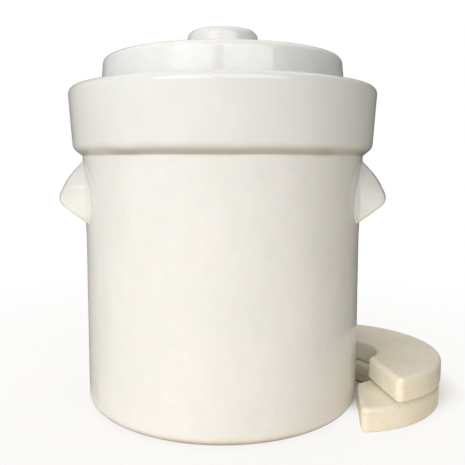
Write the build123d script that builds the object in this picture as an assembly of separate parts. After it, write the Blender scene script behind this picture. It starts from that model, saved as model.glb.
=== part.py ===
from build123d import *

import os

# Water seal pickle jar, five litre class, all lengths in millimetres.
# The origin is on the crock's axis at the middle of its flat base, +Z is up, and the
# crock's two lugs point along -X and +X. The two weight stones stand beside the crock
# on the +X side, one on the other, as they are left while the crock is empty.

# Clearance between pieces that only stand beside each other
standing_gap = 0.3

# Crock body: one thick-walled stoneware pot with a flat base, a shoulder and a mouth collar
waist_radius = 105.0
foot_spread = 0.6
neck_spread = 1.6
neck_height = 188.0
flare_length = 60.0
foot_rounding = 8.0
crock_wall = 10.5
crock_floor = 11.0
inner_foot_rounding = 18.0
shoulder_thickness = 10.0
shoulder_fall = 6.0
inner_shoulder_rounding = 15.0
mouth_edge_rounding = 5.0
collar_wall = 7.5
collar_drop = 5.5
collar_rounding = 3.4
collar_root_rounding = 4.0

# Gutter ring: the band that holds the sealing water, luted onto the crock's shoulder
ring_foot_depth = 12.0
band_overhang = 6.7
band_foot_rise = 5.5
band_foot_rounding = 7.0
band_wall = 8.3
rim_lean = 2.7
rim_wall = 9.0
rim_outer_rounding = 5.2
rim_inner_rounding = 3.4
gutter_depth = 37.5
gutter_root_rounding = 5.0

# Lid: an inverted dish whose skirt stands on the gutter floor, under water in use
water_gap = 9.5
lid_stand = 23.5
lid_taper = 5.7
lid_crown = 1.2
lid_wall = 6.0
lid_roof = 8.5
lid_shoulder_rounding = 5.0
lid_inner_rounding = 11.0
lid_lip_rounding = 2.4
lid_seat_margin = 3.5
collar_gap = 3.3
gas_notch_radius = 8.0

# Knob: a low solid grip in the middle of the lid
knob_foot_radius = 33.0
knob_neck_radius = 27.2
knob_neck_rise = 7.0
knob_neck_rounding = 9.0
knob_top_radius = 26.4
knob_rise = 21.3
knob_crown = 0.8
knob_top_rounding = 5.5

# Lug handles: two solid ears, wedge-shaped in section, their ends drawn in towards the tip
# and flared at the foot where they were smoothed onto the wall
lug_top_drop = 2.1
lug_height = 46.9
lug_brow_rise = 33.0
lug_brow_reach = 12.8
lug_brow_rounding = 50.0
lug_tip_rise = 16.3
lug_tip_reach = 20.8
lug_tip_rounding = 8.0
lug_half_width = 47.5
lug_margin = 4.0
lug_crown_rounding = 33.0
lug_heel_rounding = 17.0
lug_draw_share = 0.27
lug_foot_depth = 7.5
lug_flare_share = 0.76
lug_root_depth = 20.0
lug_edge_rounding = 3.5
lug_half_sweep_degrees = 45.0

# Weight stones: two alike half-moons, each with a half-round finger hole in its cut face
stone_radius = 78.3
stone_thickness = 18.0
stone_cut_offset = 15.3
finger_hole_radius = 30.2
stone_corner_rounding = 4.2
stone_edge_rounding = 3.4
lower_stone_turn = -9.2
lower_stone_slide = 9.7
upper_stone_turn = 9.3
upper_stone_slide = -18.5

# Radii, from the waist outwards to the rim and from there inwards to the mouth
foot_radius = waist_radius + foot_spread
neck_radius = waist_radius + neck_spread
inner_radius = waist_radius - crock_wall
band_foot_radius = neck_radius + band_overhang
rim_radius = band_foot_radius + rim_lean
gutter_radius = band_foot_radius - band_wall
lid_skirt_radius = gutter_radius - water_gap
lid_shoulder_radius = lid_skirt_radius - lid_taper
ring_seat_radius = lid_skirt_radius + lid_seat_margin
collar_radius = lid_shoulder_radius - lid_wall - collar_gap
mouth_radius = collar_radius - collar_wall

# Heights, from the neck upwards
waist_height = neck_height - flare_length
gutter_floor_height = neck_height + ring_foot_depth
shoulder_underside = gutter_floor_height - shoulder_thickness
rim_height = gutter_floor_height + gutter_depth
collar_height = rim_height - collar_drop
lid_height = rim_height + lid_stand

# A lug's height on the wall, and its distances from the axis
lug_top = neck_height - lug_top_drop
lug_bottom = lug_top - lug_height
lug_root = waist_radius - lug_root_depth
lug_foot = waist_radius - lug_foot_depth

outer_wall = [
    (foot_radius, 0, foot_rounding),
    (waist_radius, waist_height, 0),
    (neck_radius, neck_height, 0),
]


def turned(*corners):
    """Turn a closed outline of (radius, height, rounding) corners about the axis."""
    points = [(radius, height) for radius, height, rounding in corners]
    roundings = [rounding for radius, height, rounding in corners]
    outline = FilletPolyline(*points, radius=roundings, close=True)
    return revolve(Plane.XZ * make_face(outline), Axis.Z)


def make_crock_body():
    """Base, side wall, shoulder and mouth collar, with the step that carries the ring."""
    return turned(
        (0, 0, 0),
        *outer_wall,
        (ring_seat_radius, neck_height, 0),
        (ring_seat_radius, gutter_floor_height, 0),
        (collar_radius, gutter_floor_height, collar_root_rounding),
        (collar_radius, collar_height, collar_rounding),
        (mouth_radius, collar_height, collar_rounding),
        (mouth_radius, shoulder_underside, mouth_edge_rounding),
        (inner_radius, shoulder_underside - shoulder_fall, inner_shoulder_rounding),
        (inner_radius, crock_floor, inner_foot_rounding),
        (0, crock_floor, 0),
    )


def make_water_gutter():
    """The ring round the shoulder: its floor carries on the shoulder's, its underside rises
    from the neck as a cove, and its band leans out to a rounded rim."""
    return turned(
        (ring_seat_radius, neck_height, 0),
        (neck_radius, neck_height, 0),
        (band_foot_radius, neck_height + band_foot_rise, band_foot_rounding),
        (rim_radius, rim_height, rim_outer_rounding),
        (rim_radius - rim_wall, rim_height, rim_inner_rounding),
        (gutter_radius, gutter_floor_height, gutter_root_rounding),
        (ring_seat_radius, gutter_floor_height, 0),
    )


def make_lid():
    """Inverted dish with a slightly falling roof and two gas notches in its lower lip."""
    roof_underside = lid_height - lid_crown - lid_roof
    dish = turned(
        (0, lid_height, 0),
        (knob_foot_radius, lid_height, 0),
        (lid_shoulder_radius, lid_height - lid_crown, lid_shoulder_rounding),
        (lid_skirt_radius, gutter_floor_height, lid_lip_rounding),
        (lid_skirt_radius - lid_wall, gutter_floor_height, lid_lip_rounding),
        (lid_shoulder_radius - lid_wall, roof_underside, lid_inner_rounding),
        (0, roof_underside, 0),
    )
    notch_reach = lid_skirt_radius + lid_wall
    notch_start = Plane.YZ.offset(-notch_reach) * Pos(0, gutter_floor_height)
    gas_notches = extrude(notch_start * Circle(gas_notch_radius), 2 * notch_reach)
    return dish - gas_notches


def make_lid_knob():
    """Low round grip: a spreading foot, a drawn-in side and a softly crowned top."""
    top = lid_height + knob_rise
    return turned(
        (0, lid_height, 0),
        (knob_foot_radius, lid_height, 0),
        (knob_neck_radius, lid_height + knob_neck_rise, knob_neck_rounding),
        (knob_top_radius, top - knob_crown, knob_top_rounding),
        (0, top, 0),
    )


def lug_wedge():
    """Wedge section of a lug, swept about the crock's axis and rooted inside its wall."""
    outline = FilletPolyline(
        (lug_root, lug_bottom),
        (waist_radius, lug_bottom),
        (waist_radius + lug_tip_reach, lug_bottom + lug_tip_rise),
        (waist_radius + lug_brow_reach, lug_bottom + lug_brow_rise),
        (waist_radius, lug_top),
        (lug_root, lug_top),
        radius=[0, 0, lug_tip_rounding, lug_brow_rounding, 0, 0],
        close=True,
    )
    section = Plane.XZ * make_face(outline)
    start = Rot(0, 0, -lug_half_sweep_degrees) * section
    return revolve(start, Axis.Z, revolution_arc=2 * lug_half_sweep_degrees)


def ear_section(distance, draw_share):
    """Side view of a lug at a distance from the axis, drawn in evenly beyond its foot."""
    spread = draw_share * (lug_foot - distance)
    half_width = lug_half_width + spread
    bottom = lug_bottom - lug_margin - spread
    top = lug_top + lug_margin + spread
    heel = lug_heel_rounding + spread
    crown = lug_crown_rounding + spread
    outline = FilletPolyline(
        (-half_width, bottom),
        (half_width, bottom),
        (half_width, top),
        (-half_width, top),
        radius=[heel, heel, crown, crown],
        close=True,
    )
    return Plane.YZ.offset(distance) * make_face(outline)


def ear(reach, draw_share):
    """Block with a lug's side outline, from inside the wall out to a reach from the axis."""
    return loft([ear_section(lug_root, draw_share), ear_section(reach, draw_share)], ruled=True)


def soften_ends(lug):
    """Round the edges where a lug's two ends meet its brow, tip and underside."""
    ends = [face for face in lug.faces() if abs(face.center().Y) > standing_gap]
    edges = [edge for face in ends for edge in face.edges()]
    seam = [
        edge
        for edge in edges
        if sum(edge.is_same(other) for other in edges) == 1
        and edge.center().X > lug_root + standing_gap
    ]
    return fillet(seam, lug_edge_rounding)


def make_handle_right():
    """The +X lug: a wedge with ear-shaped ends and a flared foot, seated on the wall."""
    wedge = lug_wedge()
    tip = waist_radius + lug_tip_reach + lug_margin
    grip = soften_ends((wedge & ear(tip, lug_draw_share)).solid())
    foot = wedge & ear(waist_radius, lug_flare_share)
    crock_space = turned((0, 0, 0), *outer_wall, (0, neck_height, 0))
    return grip + foot - crock_space


def half_moon():
    """A stone lying with its disc's centre at the origin and its cut face towards -X."""
    disc = Circle(stone_radius) - Circle(finger_hole_radius)
    kept = Pos(stone_cut_offset + stone_radius, 0) * Rectangle(2 * stone_radius, 2 * stone_radius)
    blank = extrude(disc & kept, stone_thickness)
    blank = fillet(blank.edges().filter_by(Axis.Z), stone_corner_rounding)
    flat_faces = blank.faces().filter_by(Axis.Z)
    return fillet(flat_faces.edges(), stone_edge_rounding)


def place_stone(stone, turn, slide, level):
    """Stand a stone beside the crock, cut face inwards, turned about the crock's axis and
    slid along its cut face."""
    centre_distance = foot_radius + standing_gap - stone_cut_offset
    return Pos(0, 0, level) * Rot(0, 0, turn) * Pos(centre_distance, slide) * stone


handle_right = make_handle_right()
stone = half_moon()

parts = {
    "crock_body": make_crock_body(),
    "water_gutter": make_water_gutter(),
    "handle_left": mirror(handle_right, Plane.YZ),
    "handle_right": handle_right,
    "lid": make_lid(),
    "lid_knob": make_lid_knob(),
    "weight_stone_lower": place_stone(stone, lower_stone_turn, lower_stone_slide, 0),
    "weight_stone_upper": place_stone(stone, upper_stone_turn, upper_stone_slide, stone_thickness),
}

os.makedirs("parts", exist_ok=True)
for name, solid in parts.items():
    export_step(solid, f"parts/{name}.step")

print("ok")
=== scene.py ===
import math

import bpy
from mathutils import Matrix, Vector


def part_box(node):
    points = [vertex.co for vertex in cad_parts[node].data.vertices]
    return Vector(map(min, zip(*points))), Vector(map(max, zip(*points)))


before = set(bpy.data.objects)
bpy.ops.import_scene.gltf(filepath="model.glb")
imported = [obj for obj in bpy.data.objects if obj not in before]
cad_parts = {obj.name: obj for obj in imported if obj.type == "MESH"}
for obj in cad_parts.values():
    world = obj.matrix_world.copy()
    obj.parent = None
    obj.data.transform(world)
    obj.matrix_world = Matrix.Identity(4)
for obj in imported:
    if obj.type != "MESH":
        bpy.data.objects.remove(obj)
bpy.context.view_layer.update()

# Camera: it stands close in front of the crock, a little higher than half its height, so that the
# rim hides the gutter and the lid's edge hides the foot of the knob. The ellipses of rim and foot
# in the photograph give its distance and its height as so many crock radii.
crock_radius = 0.105
camera_distance = 4.495 * crock_radius
camera_height = 1.736 * crock_radius
camera_pitch_degrees = 6.53
photo_side_px = 465
photo_focal_px = 600
photo_axis_px = 222.6

camera_data = bpy.data.cameras.new("camera")
camera_data.lens = camera_data.sensor_width * photo_focal_px / photo_side_px
camera_data.shift_x = 0.5 - photo_axis_px / photo_side_px
camera = bpy.data.objects.new("camera", camera_data)
camera.location = (0, -camera_distance, camera_height)
camera.rotation_euler = (math.radians(90 - camera_pitch_degrees), 0, 0)
bpy.context.scene.collection.objects.link(camera)
bpy.context.scene.camera = camera
bpy.context.scene.view_settings.view_transform = "Standard"

# Floor: a sheet of matt paper that the eye sees almost white, with the jar's soft shadow left on
# it. In front of the crock it throws a warm light up at it, as a table by a window does. The narrow
# hollow between crock and stones stays out of both and keeps its dark.
floor_half_side = 6.0
paper_colour = "#EFE7DA"
plain_white = "#FFFFFF"
white_share_near_jar = 0.86
near_radius = 0.12
plain_white_radius = 0.6
mirrored_white = 0.55
bounce_colour = "#FFDCAC"
bounce_strength = 0.265
bounce_centre = (0.02, -0.19, 0)
bounce_full_radius = 0.06
bounce_end_radius = 0.34
hollow_centre = (0.128, 0.015, 0)
hollow_radius = 0.035
hollow_end_radius = 0.075


def linear(hex_colour):
    """An sRGB hex colour as the linear red, green, blue and alpha that a shader takes."""
    channels = [int(hex_colour[start:start + 2], 16) / 255 for start in (1, 3, 5)]
    return [c / 12.92 if c <= 0.04045 else ((c + 0.055) / 1.055) ** 2.4 for c in channels] + [1]


def add(tree, kind, links=None, **settings):
    """Adds a node to a tree, with its settings and with links from other nodes' outputs to its
    inputs. A setting whose name is an input's, with _ for a space, sets that input's value."""
    node = tree.nodes.new(kind)
    inputs = {socket.identifier.replace(" ", "_"): socket for socket in node.inputs}
    for name, value in settings.items():
        if name in inputs:
            inputs[name].default_value = value
        else:
            setattr(node, name, value)
    for name, output in (links or {}).items():
        tree.links.new(output, inputs[name])
    return node


def white_to_the_eye(tree):
    """A mask that is 1 where a ray comes from the eye, a reflection or through glass, and the
    strength of the white that it then meets: a reflection meets a duller one, so that the rims of
    a glossy white pot stand out from a white ground."""
    path = add(tree, "ShaderNodeLightPath")
    seen = add(tree, "ShaderNodeMath", {"Value": path.outputs["Is Camera Ray"],
                                        "Value_001": path.outputs["Is Glossy Ray"]}, operation="ADD")
    seen = add(tree, "ShaderNodeMath", {"Value": seen.outputs[0],
                                        "Value_001": path.outputs["Is Transmission Ray"]},
               operation="ADD")
    level = add(tree, "ShaderNodeMapRange", {"Value": path.outputs["Is Glossy Ray"]},
                To_Min=1, To_Max=mirrored_white)
    return seen.outputs[0], level.outputs["Result"]


floor_data = bpy.data.meshes.new("floor")
floor_data.from_pydata(
    [(x * floor_half_side, y * floor_half_side, 0) for x, y in ((-1, -1), (1, -1), (1, 1), (-1, 1))],
    [],
    [(0, 1, 2, 3)],
)
floor = bpy.data.objects.new("floor", floor_data)
bpy.context.scene.collection.objects.link(floor)

paper = bpy.data.materials.new("matt_white_paper_floor")
paper.use_nodes = True
tree = paper.node_tree
tree.nodes.clear()
seen, white_level = white_to_the_eye(tree)
place = add(tree, "ShaderNodeTexCoord")
from_jar = add(tree, "ShaderNodeVectorMath", {"Vector": place.outputs["Object"]}, operation="LENGTH")
white_share = add(tree, "ShaderNodeMapRange", {"Value": from_jar.outputs["Value"]},
                  interpolation_type="SMOOTHSTEP", From_Min=near_radius, From_Max=plain_white_radius,
                  To_Min=white_share_near_jar, To_Max=1)
from_hollow = add(tree, "ShaderNodeVectorMath", {"Vector": place.outputs["Object"]},
                  operation="DISTANCE", Vector_001=hollow_centre)
in_the_open = add(tree, "ShaderNodeMapRange", {"Value": from_hollow.outputs["Value"]},
                  interpolation_type="SMOOTHSTEP", From_Min=hollow_radius, From_Max=hollow_end_radius,
                  To_Min=0, To_Max=1)
white_share = add(tree, "ShaderNodeMath", {"Value": white_share.outputs["Result"],
                                           "Value_001": in_the_open.outputs["Result"]},
                  operation="MULTIPLY")
white_share = add(tree, "ShaderNodeMath", {"Value": seen, "Value_001": white_share.outputs[0]},
                  operation="MULTIPLY", use_clamp=True)
from_bounce = add(tree, "ShaderNodeVectorMath", {"Vector": place.outputs["Object"]},
                  operation="DISTANCE", Vector_001=bounce_centre)
bounce = add(tree, "ShaderNodeMapRange", {"Value": from_bounce.outputs["Value"]},
             interpolation_type="SMOOTHSTEP", From_Min=bounce_full_radius, From_Max=bounce_end_radius,
             To_Min=bounce_strength, To_Max=0)
bounce = add(tree, "ShaderNodeMath", {"Value": bounce.outputs["Result"],
                                      "Value_001": in_the_open.outputs["Result"]},
             operation="MULTIPLY")
path = add(tree, "ShaderNodeLightPath")
bounce = add(tree, "ShaderNodeMath", {"Value": path.outputs["Is Diffuse Ray"],
                                      "Value_001": bounce.outputs[0]}, operation="MULTIPLY")
matt = add(tree, "ShaderNodeBsdfDiffuse", Color=linear(paper_colour))
warm = add(tree, "ShaderNodeEmission", {"Strength": bounce.outputs[0]}, Color=linear(bounce_colour))
lit = add(tree, "ShaderNodeAddShader", {"Shader": matt.outputs[0], "Shader_001": warm.outputs[0]})
white = add(tree, "ShaderNodeEmission", {"Strength": white_level}, Color=linear(plain_white))
mixed = add(tree, "ShaderNodeMixShader", {"Fac": white_share.outputs[0], "Shader": lit.outputs[0],
                                          "Shader_001": white.outputs[0]})
add(tree, "ShaderNodeOutputMaterial", {"Surface": mixed.outputs[0]})
floor_data.materials.append(paper)

# Surround: plain white to the eye, and only a dim even light on the jar.
surround_light = 0.18

surround = bpy.data.worlds.new("white_surround")
bpy.context.scene.world = surround
surround.use_nodes = True
tree = surround.node_tree
tree.nodes.clear()
seen, white_level = white_to_the_eye(tree)
strength = add(tree, "ShaderNodeMapRange", {"Value": seen}, To_Min=surround_light, To_Max=1)
strength = add(tree, "ShaderNodeMath", {"Value": strength.outputs["Result"], "Value_001": white_level},
               operation="MULTIPLY")
sky = add(tree, "ShaderNodeBackground", {"Strength": strength.outputs[0]}, Color=linear(plain_white))
add(tree, "ShaderNodeOutputWorld", {"Surface": sky.outputs[0]})

# Lamps: five soft boxes round the jar. Two windows stand in front, one lamp hangs overhead, a low
# one fills in from the left at the crock's height, and one behind lights the lid and the stones.
jar_middle = Vector((0, 0, 0.14))
lamp_distance = 1.5


def place_lamp(name, azimuth_degrees, elevation_degrees, width, height, radiance, colour):
    """A rectangular soft lamp that faces the middle of the jar. Azimuth 0 is the camera's side
    and a negative one is to its left. The glaze mirrors the panes of the next section instead."""
    azimuth = math.radians(azimuth_degrees)
    elevation = math.radians(elevation_degrees)
    away = Vector((math.sin(azimuth) * math.cos(elevation), -math.cos(azimuth) * math.cos(elevation),
                   math.sin(elevation)))
    lamp_data = bpy.data.lights.new(name, "AREA")
    lamp_data.shape = "RECTANGLE"
    lamp_data.size = width
    lamp_data.size_y = height
    lamp_data.energy = radiance * math.pi * width * height
    lamp_data.color = linear(colour)[:3]
    lamp = bpy.data.objects.new(name, lamp_data)
    lamp.location = jar_middle + lamp_distance * away
    lamp.rotation_euler = away.to_track_quat("Z", "Y").to_euler()
    lamp.visible_camera = False
    lamp.visible_glossy = False
    bpy.context.scene.collection.objects.link(lamp)


place_lamp("window_left", azimuth_degrees=-36, elevation_degrees=31, width=1.3, height=1.35,
           radiance=0.56, colour="#FBFBF6")
place_lamp("window_right", azimuth_degrees=19, elevation_degrees=31, width=0.8, height=1.35,
           radiance=0.76, colour="#F2F7FF")
place_lamp("overhead", azimuth_degrees=-90, elevation_degrees=81, width=1.2, height=1.2,
           radiance=2.9, colour="#FCF9F1")
place_lamp("low_fill", azimuth_degrees=-29, elevation_degrees=3, width=1.6, height=0.22,
           radiance=9.8, colour="#F5F7FB")
place_lamp("high_back", azimuth_degrees=145, elevation_degrees=56, width=0.8, height=0.8,
           radiance=2.6, colour="#F4F6FA")

# Cards and panes: what the glaze mirrors. Grey cards stand close round the sides and the back, and
# give a white pot a darker edge against a white ground, as in any packshot. Bright window panes
# stand far in front. Only the glaze sees them, and they give no light.
degrees_per_face = 5


def reflected_card(name, radius, start_degrees, end_degrees, bottom, top, colour, strength=1):
    """A piece of an upright cylinder round the jar, between two azimuths and two heights."""
    steps = max(2, round((end_degrees - start_degrees) / degrees_per_face))
    points = []
    faces = []
    for step in range(steps + 1):
        azimuth = math.radians(start_degrees + (end_degrees - start_degrees) * step / steps)
        for height in (bottom, top):
            points.append((radius * math.sin(azimuth), -radius * math.cos(azimuth), height))
        if step:
            last = len(points)
            faces.append((last - 4, last - 2, last - 1, last - 3))
    card_data = bpy.data.meshes.new(name)
    card_data.from_pydata(points, [], faces)
    card = bpy.data.objects.new(name, card_data)
    card.visible_camera = False
    card.visible_diffuse = False
    card.visible_shadow = False
    card.visible_transmission = False
    bpy.context.scene.collection.objects.link(card)
    paint = bpy.data.materials.new(f"matt_{name}")
    paint.use_nodes = True
    tree = paint.node_tree
    tree.nodes.clear()
    shine = add(tree, "ShaderNodeEmission", Color=linear(colour), Strength=strength)
    add(tree, "ShaderNodeOutputMaterial", {"Surface": shine.outputs[0]})
    card_data.materials.append(paint)


reflected_card("grey_card_high", radius=0.36, start_degrees=54, end_degrees=290,
               bottom=0.07, top=0.55, colour="#5E5E5C")
reflected_card("grey_card_low_right", radius=0.20, start_degrees=55, end_degrees=184,
               bottom=0, top=0.13, colour="#5A5A58")
reflected_card("grey_card_low_left", radius=0.16, start_degrees=184, end_degrees=290,
               bottom=0, top=0.19, colour="#8A8A88")
reflected_card("grey_card_foot_left", radius=0.118, start_degrees=180, end_degrees=290,
               bottom=0, top=0.10, colour="#8A8A88")
reflected_card("window_pane_left", radius=1.45, start_degrees=-45, end_degrees=-8,
               bottom=0.66, top=1.10, colour="#FFFFFF", strength=2.7)
reflected_card("window_sill_left", radius=1.45, start_degrees=-45, end_degrees=-8,
               bottom=0.34, top=0.66, colour="#FFFFFF", strength=5.2)
reflected_card("window_pane_edge", radius=1.44, start_degrees=-51, end_degrees=-43,
               bottom=0.74, top=0.92, colour="#FFFDF8", strength=3.3)
reflected_card("window_pane_right", radius=1.45, start_degrees=1, end_degrees=45,
               bottom=0.34, top=1.10, colour="#FFFFFF", strength=3.2)
reflected_card("window_head", radius=1.44, start_degrees=-45, end_degrees=40,
               bottom=0.95, top=1.70, colour="#FFFFFF", strength=3.2)

# Crock body: the thick stoneware pot that everything else is luted to. Jiggered in a mould,
# dipped in an opaque white glaze and fired once, at about 1250 degrees. Its foot is wiped bare
# before the firing, because it would stick to the kiln's shelf.

# The glaze on all the white pieces. Widths, spacings, radii and depths are in metres, and a most is
# the largest share of a colour that is laid on. A ring that is laid on wanders up and down by
# ring_wander, because the glaze was dipped by hand.
cloud_width = 0.055
run_width = 0.011
run_draw = 0.45
run_colour = "#E4E3DC"
run_most = 0.18
tint_width = 0.015
tint_most = 0.28
warm_tint = "#EFE5DD"
cool_tint = "#E0E4E0"
speck_spacing = 0.020
speck_radius = 0.00016
speck_edge_radius = 0.0006
speck_colour = "#B3A285"
speck_most = 0.45
wander_width = 0.022
ring_wander = 0.0016
bare_edge = 0.0005
# The bare clay's brown is darkened so that a bare foot also gives painted contact shadow.
bare_clay_and_contact_shade = "#8F7C62"
wave_width = 0.040
wave_depth = 0.00016
ripple_width = 0.013
ripple_depth = 0.00007
peel_width = 0.004
peel_depth = 0.000006
pinhole_depth = 0.0003
grit_width = 0.0012
grit_depth = 0.0003
glossy_roughness = (0.06, 0.10)
bare_roughness = 0.85
stoneware_glaze_ior = 1.5
# Painted shade round each lug's root, on the crock's wall beside it.
root_shade_colour = "#C9C5BB"
root_shade_most = 0.55

# Where the crock's glaze is painted: shade in the seam below the gutter, contact shadow with the clay
# at the foot, and shade round the lugs' roots
neck_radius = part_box("crock_body")[1].x
gutter_low, gutter_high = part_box("water_gutter")
lug_low, lug_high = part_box("handle_right")
seam_off_neck = 0.0009
seam_rise = 0.0025
seam_radius = neck_radius + seam_off_neck
seam_height = gutter_low.z + seam_rise
# Painted shade in the seam where the gutter's band meets the neck.
seam_painted_shade = "#A8A398"
# A darker ring at the foot's edge: partly clay showing through, partly painted contact shadow.
foot_edge_radius = 0.1015
foot_edge_height = 0.0010
foot_edge_clay_and_contact_shade = "#A89070"
foot_bare_height = 0.0016
root_shade_inside_ends = 0.0035
root_shade_past_top = 0.0065
lug_root_shade = dict(middle=(lug_low.z + lug_high.z) / 2, half_width=lug_high.y - root_shade_inside_ends,
                 half_height=(lug_high.z - lug_low.z) / 2 + root_shade_past_top)


def dressed(name, material):
    """A piece of the CAD frame, with one material in place of what it came with."""
    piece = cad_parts[name]
    piece.data.materials.clear()
    piece.data.materials.append(material)
    return piece


def near_ring(tree, profile, radius, height, reach, most):
    """A mask that is greatest on a circle about the jar's axis and gone at a reach from it."""
    gap = add(tree, "ShaderNodeVectorMath", {"Vector": profile}, operation="DISTANCE",
              Vector_001=(radius, 0, height))
    mask = add(tree, "ShaderNodeMapRange", {"Value": gap.outputs["Value"]},
               interpolation_type="SMOOTHSTEP", From_Min=0, From_Max=reach, To_Min=most, To_Max=0)
    return mask.outputs["Result"]


def white_glaze(name, pale, deep, rings=(), bare_below=-1, root_shade=None):
    """Opaque white glaze on stoneware: glossy and faintly wavy, with soft clouds, patches drawn
    out downwards where it ran, a warm or cool cast here and there, and a few iron specks and
    pinholes. A ring is a colour and where near_ring lays it: painted shade in a corner or on a brow,
    painted contact shadow at a foot, or an edge that the glaze runs thin over. Below bare_below the
    clay is unglazed. The ellipse of painted shade round a lug's root is given as the height of its
    middle, its half width and its half height."""
    material = bpy.data.materials.new(name)
    material.use_nodes = True
    tree = material.node_tree
    tree.nodes.clear()
    place = add(tree, "ShaderNodeTexCoord")
    cloud = add(tree, "ShaderNodeTexNoise", {"Vector": place.outputs["Object"]},
                Scale=1 / cloud_width, Detail=3, Roughness=0.5)
    tone = add(tree, "ShaderNodeValToRGB", {"Fac": cloud.outputs["Fac"]})
    tone.color_ramp.elements[0].position = 0.35
    tone.color_ramp.elements[0].color = linear(pale)
    tone.color_ramp.elements[1].position = 0.65
    tone.color_ramp.elements[1].color = linear(deep)

    drawn_out = add(tree, "ShaderNodeVectorMath", {"Vector": place.outputs["Object"]},
                    operation="MULTIPLY", Vector_001=(1, 1, run_draw))
    run = add(tree, "ShaderNodeTexNoise", {"Vector": drawn_out.outputs["Vector"]},
              Scale=1 / run_width, Detail=3, Roughness=0.55)
    run_mask = add(tree, "ShaderNodeMapRange", {"Value": run.outputs["Fac"]},
                   From_Min=0.40, From_Max=0.70, To_Min=0, To_Max=run_most)
    tint = add(tree, "ShaderNodeTexNoise", {"Vector": place.outputs["Object"]},
               Scale=1 / tint_width, Detail=3, Roughness=0.6)
    warm_mask = add(tree, "ShaderNodeMapRange", {"Value": tint.outputs["Fac"]},
                    From_Min=0.48, From_Max=0.72, To_Min=0, To_Max=tint_most)
    cool_mask = add(tree, "ShaderNodeMapRange", {"Value": tint.outputs["Fac"]},
                    From_Min=0.50, From_Max=0.28, To_Min=0, To_Max=tint_most)
    speck = add(tree, "ShaderNodeTexVoronoi", {"Vector": place.outputs["Object"]},
                Scale=1 / speck_spacing)
    speck_mask = add(tree, "ShaderNodeMapRange", {"Value": speck.outputs["Distance"]},
                     From_Min=speck_radius / speck_spacing, From_Max=speck_edge_radius / speck_spacing,
                     To_Min=speck_most, To_Max=0)
    layers = [(run_mask.outputs["Result"], run_colour), (warm_mask.outputs["Result"], warm_tint),
              (cool_mask.outputs["Result"], cool_tint), (speck_mask.outputs["Result"], speck_colour)]

    spot = add(tree, "ShaderNodeSeparateXYZ", {"Vector": place.outputs["Object"]})
    level = add(tree, "ShaderNodeVectorMath", {"Vector": place.outputs["Object"]},
                operation="MULTIPLY", Vector_001=(1, 1, 0))
    radius = add(tree, "ShaderNodeVectorMath", {"Vector": level.outputs["Vector"]}, operation="LENGTH")
    hand = add(tree, "ShaderNodeTexNoise", {"Vector": place.outputs["Object"]},
               Scale=1 / wander_width, Detail=1)
    wander = add(tree, "ShaderNodeMapRange", {"Value": hand.outputs["Fac"]},
                 From_Min=0, From_Max=1, To_Min=-ring_wander, To_Max=ring_wander)
    height = add(tree, "ShaderNodeMath", {"Value": spot.outputs["Z"],
                                          "Value_001": wander.outputs["Result"]}, operation="ADD")
    profile = add(tree, "ShaderNodeCombineXYZ", {"X": radius.outputs["Value"],
                                                 "Z": height.outputs[0]})
    for colour, circle in rings:
        layers.append((near_ring(tree, profile.outputs[0], **circle), colour))
    bare = add(tree, "ShaderNodeMapRange", {"Value": height.outputs[0]},
               interpolation_type="SMOOTHSTEP", From_Min=bare_below - bare_edge,
               From_Max=bare_below + bare_edge, To_Min=1, To_Max=0)
    layers.append((bare.outputs["Result"], bare_clay_and_contact_shade))
    # Painted shade round a lug's root.
    if root_shade:
        aside = add(tree, "ShaderNodeVectorMath", {"Vector": place.outputs["Object"]},
                    operation="SUBTRACT", Vector_001=(0, 0, root_shade["middle"]))
        aside = add(tree, "ShaderNodeVectorMath", {"Vector": aside.outputs["Vector"]},
                    operation="MULTIPLY",
                    Vector_001=(0, 1 / root_shade["half_width"], 1 / root_shade["half_height"]))
        aside = add(tree, "ShaderNodeVectorMath", {"Vector": aside.outputs["Vector"]},
                    operation="LENGTH")
        root_shaded = add(tree, "ShaderNodeMapRange", {"Value": aside.outputs["Value"]},
                      interpolation_type="SMOOTHSTEP", From_Min=0.95, From_Max=1.35,
                      To_Min=root_shade_most, To_Max=0)
        layers.append((root_shaded.outputs["Result"], root_shade_colour))
    surface = tone.outputs["Color"]
    for mask, colour in layers:
        laid = add(tree, "ShaderNodeMix", {"Factor_Float": mask, "A_Color": surface},
                   data_type="RGBA", B_Color=linear(colour))
        surface = laid.outputs[2]

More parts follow.
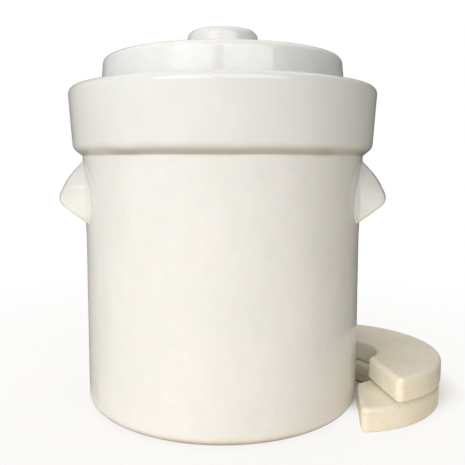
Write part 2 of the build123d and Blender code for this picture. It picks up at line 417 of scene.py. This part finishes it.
    sheen = add(tree, "ShaderNodeMapRange", {"Value": cloud.outputs["Fac"]},
                From_Min=0.3, From_Max=0.7, To_Min=glossy_roughness[0], To_Max=glossy_roughness[1])
    roughness = add(tree, "ShaderNodeMix", {"Factor_Float": bare.outputs["Result"],
                                            "A_Float": sheen.outputs["Result"]}, B_Float=bare_roughness)
    wave = add(tree, "ShaderNodeTexNoise", {"Vector": place.outputs["Object"]},
               Scale=1 / wave_width, Detail=1.5, Roughness=0.45)
    normal = add(tree, "ShaderNodeBump", {"Height": wave.outputs["Fac"]},
                 Strength=1, Distance=wave_depth)
    ripple = add(tree, "ShaderNodeTexNoise", {"Vector": place.outputs["Object"]},
                 Scale=1 / ripple_width, Detail=1, Roughness=0.4)
    normal = add(tree, "ShaderNodeBump", {"Height": ripple.outputs["Fac"], "Normal": normal.outputs[0]},
                 Strength=1, Distance=ripple_depth)
    peel = add(tree, "ShaderNodeTexNoise", {"Vector": place.outputs["Object"]},
               Scale=1 / peel_width, Detail=2, Roughness=0.5)
    normal = add(tree, "ShaderNodeBump", {"Height": peel.outputs["Fac"], "Normal": normal.outputs[0]},
                 Strength=1, Distance=peel_depth)
    normal = add(tree, "ShaderNodeBump", {"Height": speck_mask.outputs["Result"],
                                          "Normal": normal.outputs[0]},
                 Strength=1, Distance=pinhole_depth, invert=True)
    grit = add(tree, "ShaderNodeTexNoise", {"Vector": place.outputs["Object"]},
               Scale=1 / grit_width, Detail=2, Roughness=0.7)
    normal = add(tree, "ShaderNodeBump", {"Height": grit.outputs["Fac"], "Normal": normal.outputs[0],
                                          "Strength": bare.outputs["Result"]}, Distance=grit_depth)
    glaze = add(tree, "ShaderNodeBsdfPrincipled", {"Base_Color": surface,
                                                   "Roughness": roughness.outputs[0],
                                                   "Normal": normal.outputs[0]},
                IOR=stoneware_glaze_ior)
    add(tree, "ShaderNodeOutputMaterial", {"Surface": glaze.outputs[0]})
    return material


# Painted shade in the seam and round the lugs' roots, and at the foot partly painted contact shadow.
crock_body = dressed("crock_body", white_glaze(
    "dipped_white_glaze_on_crock", pale="#F1F0ED", deep="#EEEEEA",
    rings=[(seam_painted_shade, dict(radius=seam_radius, height=seam_height, reach=0.0042, most=0.9)),
           (foot_edge_clay_and_contact_shade, dict(radius=foot_edge_radius, height=foot_edge_height,
                                   reach=0.0075, most=0.9))],
    bare_below=foot_bare_height, root_shade=lug_root_shade))

# Water gutter: a thrown ring of the same clay, luted onto the shoulder with slip. The glaze thins
# over its rim, and shade is painted into the corner where its band meets the neck.
rim_colour = "#EDE6DA"

water_gutter = dressed("water_gutter", white_glaze(
    "dipped_white_glaze_on_gutter", pale="#E9EBE9", deep="#E7E7E4",
    rings=[(seam_painted_shade, dict(radius=seam_radius, height=seam_height, reach=0.0086, most=0.95)),
           (rim_colour, dict(radius=gutter_high.x, height=gutter_high.z, reach=0.0050, most=0.12))]))

# Lug handles: two solid ears pressed in a mould and luted on. Their corner at the wall is smoothed
# with a wet finger. Shade is painted on their brows, and the left lug's glaze is painted darker and
# the right lug's lighter, as painted shade and light.
brow_painted_shade = "#C6C6BC"
brow_past_tip = 0.0032
brow_below_top = 0.0123
brow_shade_ring = dict(radius=lug_high.x + brow_past_tip, height=lug_high.z - brow_below_top,
            reach=0.0260, most=0.7)

# Each lug's tone is painted light: darker on the left lug, lighter on the right.
for node, painted_light_tone in (("handle_left", "#E1E1DE"), ("handle_right", "#F8F7F4")):
    lug = dressed(node, white_glaze(f"dipped_white_glaze_on_{node}", pale=painted_light_tone, deep="#EEEDE9",
                                    rings=[(brow_painted_shade, brow_shade_ring)]))

# Lid: an inverted dish whose skirt stands in the gutter. It is glazed inside and out, but for the
# lip that it stands on in the kiln. Shade is painted round the knob's foot, and the glaze runs thin
# over the lid's shoulder.
knob_foot_painted_shade = "#CFC6B6"
thin_colour = "#F1EBE0"
lid_low, lid_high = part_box("lid")
knob_low, knob_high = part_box("lid_knob")
lip_bare_rise = 0.0012
shoulder_draw_in = 0.0055
shoulder_below_top = 0.0012
lid_shoulder = dict(radius=lid_high.y - shoulder_draw_in, height=lid_high.z - shoulder_below_top,
                    reach=0.0040, most=0.25)

lid = dressed("lid", white_glaze(
    "dipped_white_glaze_on_lid", pale="#F2F2F0", deep="#EFEEEB",
    rings=[(knob_foot_painted_shade, dict(radius=knob_high.x, height=knob_low.z, reach=0.0060, most=0.35)),
           (thin_colour, lid_shoulder)],
    bare_below=lid_low.z + lip_bare_rise))

# Knob: thrown on the lid as it is turned, and closed off with a softly crowned top, over whose
# edge the glaze runs thin.
edge_draw_in = 0.0066
edge_below_top = 0.0008
knob_edge = dict(radius=knob_high.x - edge_draw_in, height=knob_high.z - edge_below_top,
                 reach=0.0035, most=0.25)

# Shade is painted round its foot, where it meets the lid.
lid_knob = dressed("lid_knob", white_glaze(
    "dipped_white_glaze_on_knob", pale="#E6E6E4", deep="#E4E4E1",
    rings=[(knob_foot_painted_shade, dict(radius=knob_high.x, height=knob_low.z, reach=0.0070, most=0.45)),
           (thin_colour, knob_edge)]))

# Weight stones: half-moons pressed from the same stoneware clay, with a thin satin cream glaze. It
# is greyer where it lies thick and flecked where the clay shows through. The lower stone's face on
# the floor is bare, and the dull shine breaks up on an uneven, grainy surface.
cream_cloud_width = 0.028
thick_width = 0.035
thick_colour = "#E5E4D6"
fleck_width = 0.0035
fleck_colour = "#D9C7A2"
pit_spacing = 0.011
pit_radius = 0.00011
pit_edge_radius = 0.00044
pit_colour = "#A98F66"
pit_depth = 0.0004
bare_face_start = 0.0003
bare_face_end = 0.0009
satin_roughness = (0.30, 0.46)
dent_width = 0.018
dent_depth = 0.0005
grain_width = 0.0016
grain_depth = 0.00004

cream_glaze = bpy.data.materials.new("satin_cream_glazed_stoneware")
cream_glaze.use_nodes = True
tree = cream_glaze.node_tree
tree.nodes.clear()
place = add(tree, "ShaderNodeTexCoord")
cloud = add(tree, "ShaderNodeTexNoise", {"Vector": place.outputs["Object"]},
            Scale=1 / cream_cloud_width, Detail=4, Roughness=0.55)
tone = add(tree, "ShaderNodeValToRGB", {"Fac": cloud.outputs["Fac"]})
tone.color_ramp.elements[0].position = 0.32
tone.color_ramp.elements[0].color = linear("#FCF4E1")
tone.color_ramp.elements[1].position = 0.68
tone.color_ramp.elements[1].color = linear("#F6EBD2")
thick = add(tree, "ShaderNodeTexNoise", {"Vector": place.outputs["Object"]},
            Scale=1 / thick_width, Detail=2, Roughness=0.5)
thick_mask = add(tree, "ShaderNodeMapRange", {"Value": thick.outputs["Fac"]},
                 From_Min=0.48, From_Max=0.72, To_Min=0, To_Max=0.5)
fleck = add(tree, "ShaderNodeTexNoise", {"Vector": place.outputs["Object"]},
            Scale=1 / fleck_width, Detail=3, Roughness=0.65)
fleck_mask = add(tree, "ShaderNodeMapRange", {"Value": fleck.outputs["Fac"]},
                 From_Min=0.56, From_Max=0.76, To_Min=0, To_Max=0.35)
pit = add(tree, "ShaderNodeTexVoronoi", {"Vector": place.outputs["Object"]}, Scale=1 / pit_spacing)
pit_mask = add(tree, "ShaderNodeMapRange", {"Value": pit.outputs["Distance"]},
               From_Min=pit_radius / pit_spacing, From_Max=pit_edge_radius / pit_spacing,
               To_Min=0.4, To_Max=0)
spot = add(tree, "ShaderNodeSeparateXYZ", {"Vector": place.outputs["Object"]})
bare = add(tree, "ShaderNodeMapRange", {"Value": spot.outputs["Z"]},
           From_Min=bare_face_start, From_Max=bare_face_end, To_Min=1, To_Max=0)
surface = tone.outputs["Color"]
for mask, colour in ((thick_mask, thick_colour), (fleck_mask, fleck_colour), (pit_mask, pit_colour),
                     (bare, bare_clay_and_contact_shade)):
    laid = add(tree, "ShaderNodeMix", {"Factor_Float": mask.outputs["Result"], "A_Color": surface},
               data_type="RGBA", B_Color=linear(colour))
    surface = laid.outputs[2]
sheen = add(tree, "ShaderNodeMapRange", {"Value": cloud.outputs["Fac"]},
            From_Min=0.3, From_Max=0.7, To_Min=satin_roughness[0], To_Max=satin_roughness[1])
dent = add(tree, "ShaderNodeTexNoise", {"Vector": place.outputs["Object"]},
           Scale=1 / dent_width, Detail=2, Roughness=0.5)
normal = add(tree, "ShaderNodeBump", {"Height": dent.outputs["Fac"]}, Strength=1, Distance=dent_depth)
grain = add(tree, "ShaderNodeTexNoise", {"Vector": place.outputs["Object"]},
            Scale=1 / grain_width, Detail=3, Roughness=0.6)
normal = add(tree, "ShaderNodeBump", {"Height": grain.outputs["Fac"], "Normal": normal.outputs[0]},
             Strength=1, Distance=grain_depth)
normal = add(tree, "ShaderNodeBump", {"Height": pit_mask.outputs["Result"],
                                      "Normal": normal.outputs[0]},
             Strength=1, Distance=pit_depth, invert=True)
glaze = add(tree, "ShaderNodeBsdfPrincipled", {"Base_Color": surface,
                                               "Roughness": sheen.outputs["Result"],
                                               "Normal": normal.outputs[0]}, IOR=stoneware_glaze_ior)
add(tree, "ShaderNodeOutputMaterial", {"Surface": glaze.outputs[0]})
for node in ("weight_stone_lower", "weight_stone_upper"):
    stone = dressed(node, cream_glaze)
